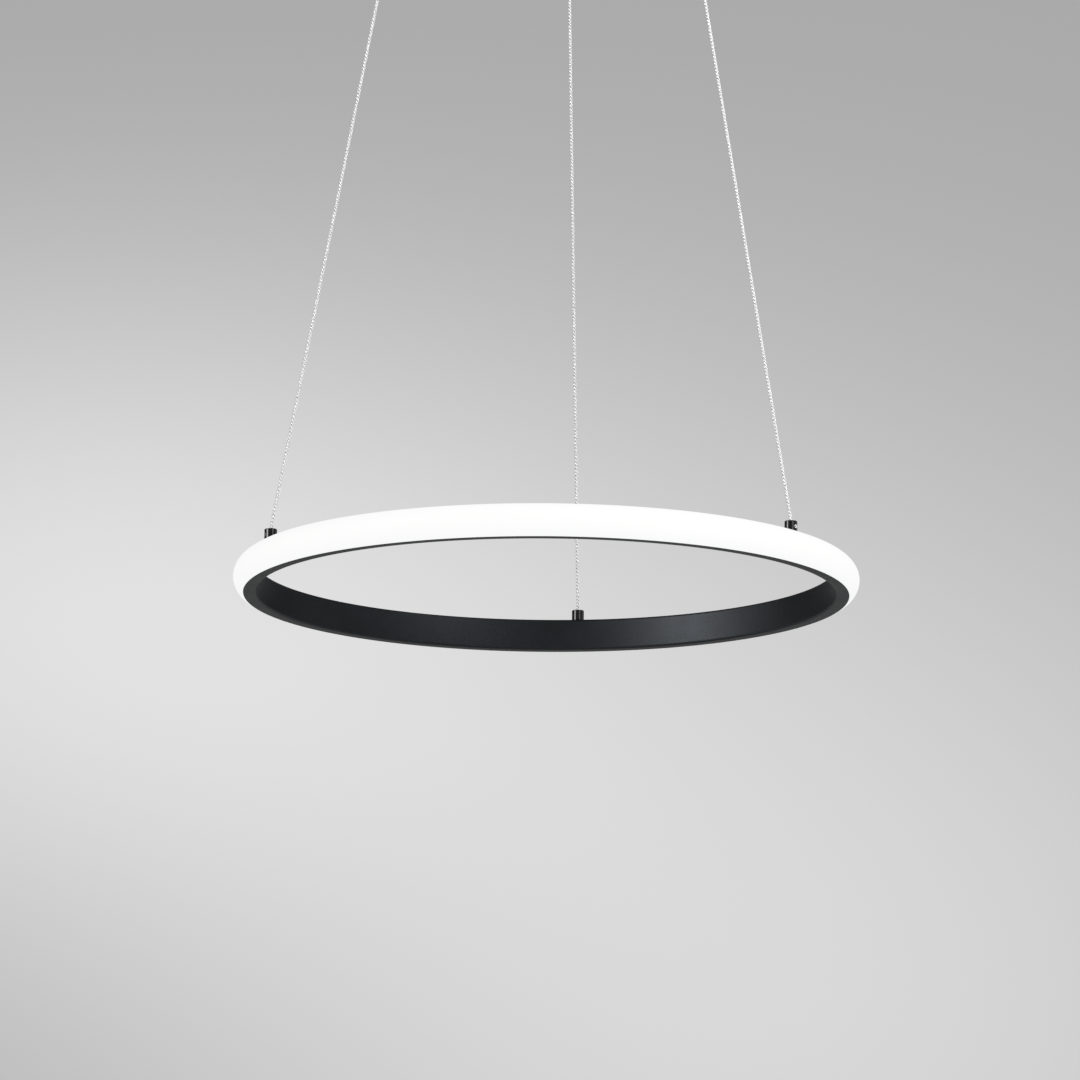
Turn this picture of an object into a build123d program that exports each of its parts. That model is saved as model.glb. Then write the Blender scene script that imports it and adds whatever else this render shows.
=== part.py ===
from build123d import *
import os
from math import cos, hypot, pi, radians, sin, sqrt

# LED ring pendant light, in millimetres. The ceiling is the plane z = 0 and the lamp hangs below it.
# Cable 1 leaves the ring at +Y, cables 2 and 3 follow clockwise as seen from above.

# Suspension
DROP = 700.0
CABLES = (1, 2, 3)
CONDUCTING_CABLES = (2, 3)
CABLE_R = 1.1
CORE_R = 0.8
CABLE_CLEARANCE = 0.15
CORE_CLEARANCE = 0.15

# Ring channel, rolled from an extruded profile that opens outwards
RING_OUTER_R = 200.0
RING_HEIGHT = 20.5
FLANGE_WIDTH = 8.5
PROFILE_WALL = 1.2
PROFILE_EDGE_R = 0.4
GROOVE_INSET = 0.9
GROOVE_WIDTH = 0.8
GROOVE_DEPTH = 0.4

# Diffuser, pressed into the channel
DIFFUSER_BULGE = 6.5
DIFFUSER_WALL = 1.5
DIFFUSER_EDGE_INSET = 0.25
LEG_LENGTH = 1.6
LEG_THICKNESS = 1.2
SEAT_CLEARANCE = 0.05

# LED strip on the channel's inner wall
STRIP_WIDTH = 8.0
STRIP_THICKNESS = 0.3
STRIP_TAPE = 0.1
STRIP_GAP = 2.0
CHIP_COUNT = 72
CHIP_LENGTH = 3.5
CHIP_WIDTH = 2.8
CHIP_THICKNESS = 0.7
RESISTOR_COUNT = 12
RESISTOR_LENGTH = 2.0
RESISTOR_WIDTH = 1.2
RESISTOR_THICKNESS = 0.5
RESISTOR_OFFSET = 2.8

# Cable holders on the ring's top flange
RING_GRIPPER_R = 4.0
RING_GRIPPER_HEIGHT = 6.75
RING_GRIPPER_EDGE_R = 0.6
RING_MOUTH_CHAMFER = 0.4
SHEATH_DEPTH = 5.0
SPIGOT_R = 2.0
SPIGOT_CLEARANCE = 0.1
BLOCK_LENGTH = 10.0
BLOCK_HEIGHT = 3.5
BLOCK_CLEARANCE = 0.25
GRUB_R = 1.25
GRUB_CLEARANCE = 0.05
GRUB_HEIGHT = 3.1
GRUB_RECESS = 0.3
GRUB_SOCKET = 1.3
GRUB_SOCKET_DEPTH = 1.2
FEED_R = 0.5
FEED_CORE_REACH = 1.5
FEED_DIP = 2.0
FEED_BEND_R = 1.2

# Ceiling plate
PLATE_THICKNESS = 1.5
PLATE_CLEARANCE = 0.4
SKIRT_DEPTH = 14.0
CEILING_HOLE_SPACING = 120.0
CEILING_HOLE_R = 2.75
ENTRY_Y = 22.0
ENTRY_BORE_R = 8.0
ENTRY_BUSH_WALL = 2.0
ENTRY_FLANGE = 2.5
ENTRY_FLANGE_THICKNESS = 1.5

# Canopy cover
CANOPY_R = 100.0
CANOPY_DEPTH = 45.0
CANOPY_WALL = 1.2
CANOPY_EDGE_R = 4.0
CANOPY_SCREW_R = 2.0
CANOPY_SCREW_CLEARANCE = 0.2
CANOPY_SCREW_HEAD_R = 3.5
CANOPY_SCREW_HEAD = 2.2
CANOPY_SCREW_REACH = 3.0
CANOPY_SCREW_Z = -8.0
SLOT_WIDTH = 0.8
SLOT_DEPTH = 0.9

# Self-locking cable grippers in the cover
GRIPPER_INSET = 27.0
SLEEVE_R = 6.0
SLEEVE_LENGTH = 14.0
SLEEVE_EDGE_R = 0.8
STEM_R = 5.0
STEM_LENGTH = 12.0
STEM_CLEARANCE = 0.2
NUT_FLATS = 14.0
NUT_HEIGHT = 4.0
NUT_CLEARANCE = 0.05
GUIDE_LENGTH = 3.0
GUIDE_CLEARANCE = 0.1
CHAMBER_R = 3.7
CONE_SLOPE = 0.12
BALL_R = 1.0
BALL_CLEARANCE = 0.1
BALL_COUNT = 3
BALL_HEIGHT = 6.5
PLUG_HEIGHT = 3.0

# Release plunger with its ball cage
CAGE_R = 2.5
CAGE_BORE_CLEARANCE = 0.3
CAGE_FLANGE_R = 3.2
CAGE_FLANGE_HEIGHT = 1.0
CAGE_FLANGE_RISE = 2.0
CAGE_HOLE_CLEARANCE = 0.05
PLUNGER_TRAVEL = 2.5
PLUNGER_STOP_GAP = 0.3
NIPPLE_R = 3.6
NIPPLE_HEIGHT = 3.2
NIPPLE_EDGE_R = 0.6
SPRING_WIRE_R = 0.3
SPRING_R = 2.6
SPRING_TURNS = 6
SPRING_SEAT_GAP = 0.05

# Driver, terminal and wiring inside the cover
DRIVER_LENGTH = 96.0
DRIVER_WIDTH = 38.0
DRIVER_HEIGHT = 23.0
DRIVER_Y = -40.0
DRIVER_EDGE_R = 3.0
DRIVER_RIM_R = 1.5
EAR_LENGTH = 9.0
EAR_WIDTH = 20.0
EAR_THICKNESS = 2.0
M3_R = 1.5
M3_CLEARANCE = 0.2
M3_HEAD_R = 2.8
M3_HEAD = 2.0
THREAD_CLEARANCE = 0.05
TIP_CLEARANCE = 0.2
POLES = 3
POLE_PITCH = 9.0
TERMINAL_X = 38.0
TERMINAL_Y = 26.0
TERMINAL_WIDTH = 18.0
TERMINAL_HEIGHT = 15.0
TERMINAL_EDGE_R = 1.0
TERMINAL_END_WALL = 1.5
POLE_HOLE_R = 1.9
POLE_SCREW_R = 1.8
POLE_SCREW_SPREAD = 5.0
POLE_SCREW_LENGTH = 3.2
POLE_SCREW_INSET = 0.6
POLE_WELL_CLEARANCE = 0.3
LEAD_R = 0.9
LEAD_Z = -10.0
LEAD_SAG = 4.0
LEAD_SAG_R = 15.0
LEAD_BEND_R = 5.0
LEAD_INSERT = 5.0
LEAD_CLEARANCE = 0.1
EARTH_Y = 2.0
EARTH_SCREW_R = 2.0
EARTH_TAG_R = 3.8
EARTH_TAG = 0.8
EARTH_HEAD_R = 3.5
EARTH_HEAD = 2.2
EARTH_RISER_R = 2.0
TAIL_LENGTH = 9.0
CRIMP_R = 1.9
CRIMP_LENGTH = 8.0

# Heights that follow from the sizes above
RING_BOTTOM = -DROP
RING_TOP = RING_BOTTOM + RING_HEIGHT
RING_MID = RING_BOTTOM + RING_HEIGHT / 2
RING_MOUTH = RING_TOP + RING_GRIPPER_HEIGHT
BLOCK_TOP = RING_TOP - PROFILE_WALL
BLOCK_BOTTOM = BLOCK_TOP - BLOCK_HEIGHT
CORE_END = BLOCK_BOTTOM - FEED_CORE_REACH
CANOPY_FLOOR = -CANOPY_DEPTH + CANOPY_WALL
SLEEVE_BOTTOM = -CANOPY_DEPTH - SLEEVE_LENGTH
STEM_TOP = -CANOPY_DEPTH + STEM_LENGTH
BALL_Z = SLEEVE_BOTTOM + BALL_HEIGHT
FLANGE_BOTTOM = BALL_Z + CAGE_FLANGE_RISE
SPRING_LOW = FLANGE_BOTTOM + CAGE_FLANGE_HEIGHT
SPRING_HIGH = STEM_TOP - PLUG_HEIGHT
NIPPLE_TOP = SLEEVE_BOTTOM - PLUNGER_TRAVEL - PLUNGER_STOP_GAP
CABLE_MOUTH = NIPPLE_TOP - NIPPLE_HEIGHT
TAIL_TOP = STEM_TOP + TAIL_LENGTH

# Radii and places that follow from the sizes above
FLANGE_R = RING_OUTER_R - DIFFUSER_BULGE
RING_INNER_R = FLANGE_R - FLANGE_WIDTH
WALL_FACE_R = RING_INNER_R + PROFILE_WALL
LEG_TIP_R = FLANGE_R - LEG_LENGTH
RING_GRIPPER_AXIS_R = (WALL_FACE_R + LEG_TIP_R) / 2
STRIP_BACK_R = WALL_FACE_R + STRIP_TAPE
STRIP_FACE_R = STRIP_BACK_R + STRIP_THICKNESS
CABLE_BORE_R = CABLE_R + CABLE_CLEARANCE
CAGE_BORE_R = CABLE_R + CAGE_BORE_CLEARANCE
PLATE_R = CANOPY_R - CANOPY_WALL - PLATE_CLEARANCE
GRIPPER_CIRCLE_R = CANOPY_R - GRIPPER_INSET
SPIGOT_HOLE_R = SPIGOT_R + SPIGOT_CLEARANCE
BALL_CIRCLE_R = CABLE_R + BALL_CLEARANCE + BALL_R
EAR_SCREW_X = DRIVER_LENGTH / 2 + EAR_LENGTH / 2
TERMINAL_LENGTH = POLES * POLE_PITCH + 2 * TERMINAL_END_WALL
TERMINAL_FACE_Y = TERMINAL_Y - TERMINAL_WIDTH / 2
POLE_XS = [TERMINAL_X + (pole - (POLES - 1) / 2) * POLE_PITCH for pole in range(POLES)]
EARTH_X = POLE_XS[-1]


def rod(radius, low, high):
    """Upright cylinder on the local axis, from one height to another."""
    return Pos(0, 0, low) * Cylinder(radius, high - low, align=(Align.CENTER, Align.CENTER, Align.MIN))


def outward_rod(radius, start, end, height):
    """Cylinder along local +Y, the direction away from the lamp's axis."""
    lying = Rot(-90, 0, 0) * rod(radius, start, end)
    return Pos(0, 0, height) * lying


def outline(*points):
    """Flat face with straight edges, in radius and height."""
    return make_face(Polyline(*points, close=True))


def rounded(face, radius, *corners):
    """Face with the named corners rounded."""
    for corner in corners:
        nearest = face.vertices().sort_by_distance((*corner, 0))[0]
        face = fillet(nearest, radius)
    return face


def turned(face, arc=360.0):
    """Solid of revolution about the vertical axis."""
    return revolve(Plane.XZ * face, Axis.Z, revolution_arc=arc)


def at_cable(shape, number, axis_radius):
    """Shape moved from the local axis to the place of one cable."""
    azimuth = -(number - 1) * 360.0 / len(CABLES)
    return Rot(0, 0, azimuth) * Pos(0, axis_radius, 0) * shape


def at_each_cable(shape, axis_radius, numbers=CABLES):
    """Separate copies of a shape at several cables, as one group."""
    return Compound([at_cable(shape, number, axis_radius) for number in numbers])


def wire(radius, bend_radius, *points):
    """Round wire along straight runs with rounded corners."""
    path = FilletPolyline(*points, radius=bend_radius)
    start = Plane(origin=path @ 0, z_dir=path % 0)
    return sweep(start * Circle(radius), path=path)


def slotted(screw, head_radius, face_height, downwards=False):
    """Screw with a straight slot cut into its head face."""
    depth = SLOT_DEPTH if downwards else -SLOT_DEPTH
    slot = Pos(0, 0, face_height + depth / 2) * Box(2.5 * head_radius, SLOT_WIDTH, SLOT_DEPTH)
    return screw - slot


# Ring

def ring_profile():
    """C-shaped channel with a snap groove in each flange and holes for the gripper spigots."""
    half = RING_HEIGHT / 2
    inside = half - PROFILE_WALL
    section = outline(
        (RING_INNER_R, -half),
        (FLANGE_R, -half),
        (FLANGE_R, -inside),
        (WALL_FACE_R, -inside),
        (WALL_FACE_R, inside),
        (FLANGE_R, inside),
        (FLANGE_R, half),
        (RING_INNER_R, half),
    )
    outer_corners = [(radius, side) for radius in (RING_INNER_R, FLANGE_R) for side in (-half, half)]
    section = rounded(section, min(PROFILE_EDGE_R, 0.4 * PROFILE_WALL), *outer_corners)
    for side in (-1, 1):
        groove = Rectangle(GROOVE_WIDTH, 2 * GROOVE_DEPTH)
        section -= Pos(FLANGE_R - GROOVE_INSET, side * inside) * groove
    channel = Pos(0, 0, RING_MID) * turned(section)
    for number in CABLES:
        hole = rod(SPIGOT_HOLE_R, BLOCK_TOP - PROFILE_WALL, RING_TOP + PROFILE_WALL)
        channel -= at_cable(hole, number, RING_GRIPPER_AXIS_R)
    return channel


def diffuser_ring():
    """Hollow D-shaped band with two legs whose beads snap into the channel's grooves."""
    half = RING_HEIGHT / 2
    base_r = FLANGE_R + SEAT_CLEARANCE
    edge = half - DIFFUSER_EDGE_INSET
    leg_out = half - PROFILE_WALL - SEAT_CLEARANCE
    leg_in = leg_out - LEG_THICKNESS
    bulge = ThreePointArc((base_r, -edge), (RING_OUTER_R, 0), (base_r, edge))
    hollow_radius = bulge.radius - DIFFUSER_WALL
    hollow_r = bulge.arc_center.X + sqrt(hollow_radius**2 - leg_in**2)
    hollow = ThreePointArc((hollow_r, leg_in), (RING_OUTER_R - DIFFUSER_WALL, 0), (hollow_r, -leg_in))
    upper_leg = [
        (base_r, edge),
        (base_r, leg_out),
        (LEG_TIP_R, leg_out),
        (LEG_TIP_R, leg_in),
        (hollow_r, leg_in),
    ]
    lower_leg = [(radius, -height) for radius, height in reversed(upper_leg)]
    section = make_face([bulge, Polyline(*upper_leg), hollow, Polyline(*lower_leg)])
    bead_height = GROOVE_DEPTH - SEAT_CLEARANCE
    bead = Rectangle(GROOVE_WIDTH - 2 * SEAT_CLEARANCE, 2 * bead_height)
    for side in (-1, 1):
        section += Pos(FLANGE_R - GROOVE_INSET, side * leg_out) * bead
    return Pos(0, 0, RING_MID) * turned(section)


def led_strip():
    """Flexible circuit strip bent round the channel's wall, open by a small gap at cable 1."""
    gap_angle = STRIP_GAP / STRIP_FACE_R * 180.0 / pi
    centre_r = (STRIP_BACK_R + STRIP_FACE_R) / 2
    section = Pos(centre_r, 0) * Rectangle(STRIP_THICKNESS, STRIP_WIDTH)
    strip = turned(section, 360.0 - gap_angle)
    return Pos(0, 0, RING_MID) * Rot(0, 0, 90.0 + gap_angle / 2) * strip


def strip_components(count, length, width, thickness, rise):
    """Flat packages spread evenly over the strip, half a step away from its gap."""
    step = 360.0 / count
    package = Pos(0, STRIP_FACE_R + thickness / 2, RING_MID + rise) * Box(length, thickness, width)
    return Compound([Rot(0, 0, (place + 0.5) * step) * package for place in range(count)])


def ring_gripper():
    """Turned cable holder: round head on the flange, spigot through it, stepped bore, side screw hole."""
    head = rod(RING_GRIPPER_R, RING_TOP, RING_MOUTH)
    head = fillet(head.edges().group_by(Axis.Z)[-1], RING_GRIPPER_EDGE_R)
    gripper = head + rod(SPIGOT_R, BLOCK_BOTTOM, RING_TOP)
    gripper -= rod(CABLE_BORE_R, RING_MOUTH - SHEATH_DEPTH, RING_MOUTH)
    gripper -= rod(CORE_R + CORE_CLEARANCE, BLOCK_BOTTOM, RING_MOUTH)
    mouth = gripper.edges().filter_by(GeomType.CIRCLE).group_by(Axis.Z)[-1].sort_by(SortBy.RADIUS)[0]
    gripper = chamfer(mouth, RING_MOUTH_CHAMFER)
    return gripper - outward_rod(GRUB_R + GRUB_CLEARANCE, 0, 2 * RING_GRIPPER_R, RING_TOP + GRUB_HEIGHT)


def gripper_block():
    """Tapped block under the flange, as wide as the room between the wall and the diffuser's leg."""
    near = WALL_FACE_R + BLOCK_CLEARANCE - RING_GRIPPER_AXIS_R
    outer_r = LEG_TIP_R - BLOCK_CLEARANCE
    far = sqrt(outer_r**2 - (BLOCK_LENGTH / 2) ** 2) - RING_GRIPPER_AXIS_R
    middle = Pos(0, (near + far) / 2, (BLOCK_TOP + BLOCK_BOTTOM) / 2)
    block = middle * Box(BLOCK_LENGTH, far - near, BLOCK_HEIGHT)
    return block - rod(SPIGOT_R + THREAD_CLEARANCE, BLOCK_BOTTOM, BLOCK_TOP)


def grub_screw():
    """Set screw that presses on the cable, with a hexagon socket in its outer face."""
    height = RING_TOP + GRUB_HEIGHT
    face = RING_GRIPPER_R - GRUB_RECESS
    screw = outward_rod(GRUB_R, CABLE_R + GRUB_CLEARANCE, face, height)
    socket_face = Plane(origin=(0, face, height), z_dir=(0, 1, 0))
    socket_outline = RegularPolygon(GRUB_SOCKET / 2, 6, major_radius=False)
    socket = extrude(socket_face * socket_outline, -GRUB_SOCKET_DEPTH)
    return screw - socket


def cable_lower_tail():
    """Cable end in the ring gripper: sheathed at the mouth, bare strands below."""
    sheath_end = RING_MOUTH - SHEATH_DEPTH
    return rod(CABLE_R, sheath_end, RING_MOUTH) + rod(CORE_R, CORE_END, sheath_end)


def feed_wire():
    """Short bent wire from the bare strands to the strip's face."""
    strip_y = STRIP_FACE_R + SEAT_CLEARANCE - RING_GRIPPER_AXIS_R
    low = CORE_END - FEED_DIP
    return wire(FEED_R, FEED_BEND_R, (0, 0, CORE_END), (0, 0, low), (0, strip_y, low))


# Cables

def cable():
    """Taut free stretch of cable 1, from the ring gripper's mouth to the plunger's mouth, cut level."""
    run = GRIPPER_CIRCLE_R - RING_GRIPPER_AXIS_R
    rise = CABLE_MOUTH - RING_MOUTH
    length = hypot(run, rise)
    section = Pos(0, RING_GRIPPER_AXIS_R, RING_MOUTH) * Ellipse(CABLE_R, CABLE_R * length / rise)
    return extrude(section, amount=length, dir=(0, run / length, rise / length))


# Ceiling plate and canopy

def ceiling_plate():
    """Round plate against the ceiling, with a skirt that the cover's side screws bite into."""
    plate = rod(PLATE_R, -SKIRT_DEPTH, 0)
    plate -= rod(PLATE_R - PLATE_THICKNESS, -SKIRT_DEPTH, -PLATE_THICKNESS)
    for side in (-1, 1):
        plate -= Pos(side * CEILING_HOLE_SPACING / 2, 0, 0) * rod(CEILING_HOLE_R, -PLATE_THICKNESS, 0)
        plate -= Pos(side * EAR_SCREW_X, DRIVER_Y, 0) * rod(M3_R + THREAD_CLEARANCE, -PLATE_THICKNESS, 0)
    plate -= Pos(0, ENTRY_Y, 0) * rod(ENTRY_BORE_R + ENTRY_BUSH_WALL + SEAT_CLEARANCE, -PLATE_THICKNESS, 0)
    plate -= Pos(terminal_screw_x(), TERMINAL_Y, 0) * rod(M3_R + THREAD_CLEARANCE, -PLATE_THICKNESS, 0)
    plate -= Pos(EARTH_X, EARTH_Y, 0) * rod(EARTH_SCREW_R + THREAD_CLEARANCE, -PLATE_THICKNESS, 0)
    for number in CABLES:
        tapped = outward_rod(CANOPY_SCREW_R + THREAD_CLEARANCE, 0, CANOPY_R, CANOPY_SCREW_Z)
        plate -= between_cables(tapped, number)
    return plate


def between_cables(shape, number):
    """Shape turned to the middle between one cable and the next."""
    return Rot(0, 0, -(number - 0.5) * 360.0 / len(CABLES)) * shape


def canopy_cover():
    """Deep-drawn round cover with holes for the grippers and the side screws."""
    inner_r = CANOPY_R - CANOPY_WALL
    section = outline(
        (0, -CANOPY_DEPTH),
        (CANOPY_R, -CANOPY_DEPTH),
        (CANOPY_R, 0),
        (inner_r, 0),
        (inner_r, CANOPY_FLOOR),
        (0, CANOPY_FLOOR),
    )
    section = rounded(section, CANOPY_EDGE_R, (CANOPY_R, -CANOPY_DEPTH))
    section = rounded(section, CANOPY_EDGE_R - CANOPY_WALL, (inner_r, CANOPY_FLOOR))
    cover = turned(section)
    for number in CABLES:
        stem_hole = rod(STEM_R + STEM_CLEARANCE, -CANOPY_DEPTH, CANOPY_FLOOR)
        cover -= at_cable(stem_hole, number, GRIPPER_CIRCLE_R)
        screw_hole = outward_rod(CANOPY_SCREW_R + CANOPY_SCREW_CLEARANCE, PLATE_R, CANOPY_R, CANOPY_SCREW_Z)
        cover -= between_cables(screw_hole, number)
    return cover


def canopy_screws():
    """Slotted side screws through the cover into the plate's skirt."""
    tip = PLATE_R - PLATE_THICKNESS - CANOPY_SCREW_REACH
    face = CANOPY_R + CANOPY_SCREW_HEAD
    screw = rod(CANOPY_SCREW_R, tip, CANOPY_R) + rod(CANOPY_SCREW_HEAD_R, CANOPY_R, face)
    screw = slotted(screw, CANOPY_SCREW_HEAD_R, face)
    lying = Pos(0, 0, CANOPY_SCREW_Z) * Rot(-90, 0, 0) * screw
    return Compound([between_cables(lying, number) for number in CABLES])


def entry_bush():
    """Snap bush that guards the supply cable in the plate's hole."""
    neck_r = ENTRY_BORE_R + ENTRY_BUSH_WALL
    bush = rod(neck_r, -PLATE_THICKNESS, 0)
    bush += rod(neck_r + ENTRY_FLANGE, -PLATE_THICKNESS - ENTRY_FLANGE_THICKNESS, -PLATE_THICKNESS)
    bush -= rod(ENTRY_BORE_R, -PLATE_THICKNESS - ENTRY_FLANGE_THICKNESS, 0)
    return Pos(0, ENTRY_Y, 0) * bush


# Cable grippers in the cover

def ceiling_gripper():
    """Gripper body: sleeve below the cover, stem through it, and a cone inside that wedges the balls."""
    cone_low = SLEEVE_BOTTOM + GUIDE_LENGTH
    cone_at_ball = BALL_CIRCLE_R + (BALL_R + BALL_CLEARANCE) * sqrt(1 + CONE_SLOPE**2)
    cone_low_r = cone_at_ball - CONE_SLOPE * (BALL_Z - cone_low)
    cone_high = BALL_Z + (CHAMBER_R - cone_at_ball) / CONE_SLOPE
    guide_r = CAGE_R + GUIDE_CLEARANCE
    section = outline(
        (guide_r, SLEEVE_BOTTOM),
        (SLEEVE_R, SLEEVE_BOTTOM),
        (SLEEVE_R, -CANOPY_DEPTH),
        (STEM_R, -CANOPY_DEPTH),
        (STEM_R, STEM_TOP),
        (CHAMBER_R, STEM_TOP),
        (CHAMBER_R, cone_high),
        (cone_low_r, cone_low),
        (guide_r, cone_low),
    )
    section = rounded(section, SLEEVE_EDGE_R, (SLEEVE_R, SLEEVE_BOTTOM))
    return turned(section)


def gripper_nut():
    """Hexagon nut that clamps the gripper body to the cover's floor."""
    nut = Pos(0, 0, CANOPY_FLOOR) * extrude(RegularPolygon(NUT_FLATS / 2, 6, major_radius=False), NUT_HEIGHT)
    return nut - rod(STEM_R + NUT_CLEARANCE, CANOPY_FLOOR, CANOPY_FLOOR + NUT_HEIGHT)


def gripper_end_plug():
    """Slotted plug in the stem's top that the spring pushes against."""
    plug = rod(CHAMBER_R - THREAD_CLEARANCE, SPRING_HIGH, STEM_TOP)
    plug -= rod(CABLE_BORE_R, SPRING_HIGH, STEM_TOP)
    return slotted(plug, CHAMBER_R, STEM_TOP)


def release_plunger():
    """Push-in nipple below the sleeve, with the ball cage and the spring's flange above it."""
    section = outline(
        (CAGE_BORE_R, CABLE_MOUTH),
        (NIPPLE_R, CABLE_MOUTH),
        (NIPPLE_R, NIPPLE_TOP),
        (CAGE_R, NIPPLE_TOP),
        (CAGE_R, FLANGE_BOTTOM),
        (CAGE_FLANGE_R, FLANGE_BOTTOM),
        (CAGE_FLANGE_R, SPRING_LOW),
        (CAGE_BORE_R, SPRING_LOW),
    )
    rims = [(CAGE_BORE_R, CABLE_MOUTH), (NIPPLE_R, CABLE_MOUTH), (NIPPLE_R, NIPPLE_TOP)]
    plunger = turned(rounded(section, NIPPLE_EDGE_R, *rims))
    for ball in range(BALL_COUNT):
        hole = outward_rod(BALL_R + CAGE_HOLE_CLEARANCE, 0, CAGE_FLANGE_R, BALL_Z)
        plunger -= Rot(0, 0, ball * 360.0 / BALL_COUNT) * hole
    return plunger


def lock_balls(number):
    """Balls in one cage, between the cable and the gripper's cone."""
    ball = Pos(0, BALL_CIRCLE_R, BALL_Z) * Sphere(BALL_R)
    around = [Rot(0, 0, place * 360.0 / BALL_COUNT) * ball for place in range(BALL_COUNT)]
    return Compound([at_cable(each, number, GRIPPER_CIRCLE_R) for each in around])


def spring_point(turn):
    """Point of the spring's centre line after so many turns, and its unit tangent."""
    low = SPRING_LOW + SPRING_SEAT_GAP + SPRING_WIRE_R
    high = SPRING_HIGH - SPRING_SEAT_GAP - SPRING_WIRE_R
    pitch = (high - low) / SPRING_TURNS
    angle = 2 * pi * turn
    point = Vector(SPRING_R * cos(angle), SPRING_R * sin(angle), low + pitch * turn)
    tangent = Vector(-SPRING_R * sin(angle), SPRING_R * cos(angle), pitch / (2 * pi))
    return point, tangent.normalized()


def biarc(start, start_dir, end, end_dir):
    """Two arcs that leave one point and reach another along the given directions."""
    chord = end - start
    both = start_dir + end_dir
    spread = 2 * (1 - start_dir.dot(end_dir))
    along = chord.dot(both)
    reach = (sqrt(along**2 + spread * chord.dot(chord)) - along) / spread
    first_corner = start + start_dir * reach
    second_corner = end - end_dir * reach
    middle = (first_corner + second_corner) * 0.5
    turn_dir = second_corner - first_corner
    return [TangentArc(start, middle, tangent=start_dir), TangentArc(middle, end, tangent=turn_dir)]


def plunger_spring():
    """Coil spring between the cage's flange and the end plug, one unbroken wire."""
    arcs = []
    for quarter in range(4 * SPRING_TURNS):
        arcs += biarc(*spring_point(quarter / 4), *spring_point((quarter + 1) / 4))
    start, direction = spring_point(0)
    return sweep(Plane(origin=start, z_dir=direction) * Circle(SPRING_WIRE_R), path=Wire(arcs))


def spring_gap():
    """Least clear gap between one turn of the spring and the next, measured on points."""
    steps = 36
    points = [spring_point(step / steps)[0] for step in range(SPRING_TURNS * steps + 1)]
    apart = []
    for place, point in enumerate(points):
        for other in points[place + steps // 2:]:
            apart.append((point - other).length)
    return min(apart) - 2 * SPRING_WIRE_R


# Driver, terminal and wiring

def led_driver():
    """Sealed driver case with two screw ears and sockets for its leads."""
    middle = -PLATE_THICKNESS - DRIVER_HEIGHT / 2
    case = Box(DRIVER_LENGTH, DRIVER_WIDTH, DRIVER_HEIGHT)
    case = fillet(case.edges().filter_by(Axis.Z), DRIVER_EDGE_R)
    case = fillet(case.faces().sort_by(Axis.Z)[0].edges(), DRIVER_RIM_R)
    case = Pos(0, DRIVER_Y, middle) * case
    ear_span = DRIVER_LENGTH + 2 * EAR_LENGTH
    case += Pos(0, DRIVER_Y, -PLATE_THICKNESS - EAR_THICKNESS / 2) * Box(ear_span, EAR_WIDTH, EAR_THICKNESS)
    socket_r = LEAD_R + LEAD_CLEARANCE
    for side in (-1, 1):
        ear_hole = rod(M3_R + M3_CLEARANCE, -PLATE_THICKNESS - EAR_THICKNESS, -PLATE_THICKNESS)
        case -= Pos(side * EAR_SCREW_X, DRIVER_Y, 0) * ear_hole
        socket = rod(socket_r, DRIVER_LENGTH / 2 - LEAD_INSERT, DRIVER_LENGTH)
        case -= Pos(0, output_lead_y(), LEAD_Z) * Rot(0, side * 90, 0) * socket
    driver_face = DRIVER_Y + DRIVER_WIDTH / 2
    for x in POLE_XS[:2]:
        case -= Pos(x, 0, 0) * outward_rod(socket_r, driver_face - LEAD_INSERT, driver_face, LEAD_Z)
    return case


def output_lead_y():
    """Place of the conducting cables' grippers along Y."""
    return GRIPPER_CIRCLE_R * cos(radians(360.0 / len(CABLES)))


def ear_screws():
    """Two pan-head screws through the driver's ears into the plate."""
    ear_face = -PLATE_THICKNESS - EAR_THICKNESS
    screw = m3_screw(ear_face)
    return Compound([Pos(side * EAR_SCREW_X, DRIVER_Y, 0) * screw for side in (-1, 1)])


def m3_screw(seat):
    """Slotted M3 screw that points up into the plate, with its head under the given seat."""
    face = seat - M3_HEAD
    screw = rod(M3_R, seat, -TIP_CLEARANCE) + rod(M3_HEAD_R, face, seat)
    return slotted(screw, M3_HEAD_R, face, downwards=True)


def terminal_screw_x():
    """Fixing screw's place, midway between the first two poles."""
    return (POLE_XS[0] + POLE_XS[1]) / 2


def pole_screw_places():
    """Places of the clamping screws, two for each pole."""
    ys = (TERMINAL_Y - POLE_SCREW_SPREAD, TERMINAL_Y + POLE_SCREW_SPREAD)
    return [(x, y) for x in POLE_XS for y in ys]


def terminal_block():
    """Three-pole terminal with a through hole for each pole and a well for each clamping screw."""
    bottom = -PLATE_THICKNESS - TERMINAL_HEIGHT
    block = Box(TERMINAL_LENGTH, TERMINAL_WIDTH, TERMINAL_HEIGHT)
    block = fillet(block.edges().filter_by(Axis.Z), TERMINAL_EDGE_R)
    block = Pos(TERMINAL_X, TERMINAL_Y, bottom + TERMINAL_HEIGHT / 2) * block
    back_y = TERMINAL_FACE_Y + TERMINAL_WIDTH
    for x in POLE_XS:
        block -= Pos(x, 0, 0) * outward_rod(POLE_HOLE_R, TERMINAL_FACE_Y, back_y, LEAD_Z)
    for x, y in pole_screw_places():
        block -= Pos(x, y, 0) * rod(POLE_SCREW_R + POLE_WELL_CLEARANCE, bottom, LEAD_Z)
    fixing = rod(M3_R + M3_CLEARANCE, bottom, -PLATE_THICKNESS)
    fixing += rod(M3_HEAD_R + M3_CLEARANCE, bottom, terminal_seat())
    return block - Pos(terminal_screw_x(), TERMINAL_Y, 0) * fixing


def terminal_seat():
    """Height of the fixing screw's seat, sunk so that its head is flush."""
    return -PLATE_THICKNESS - TERMINAL_HEIGHT + M3_HEAD


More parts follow.
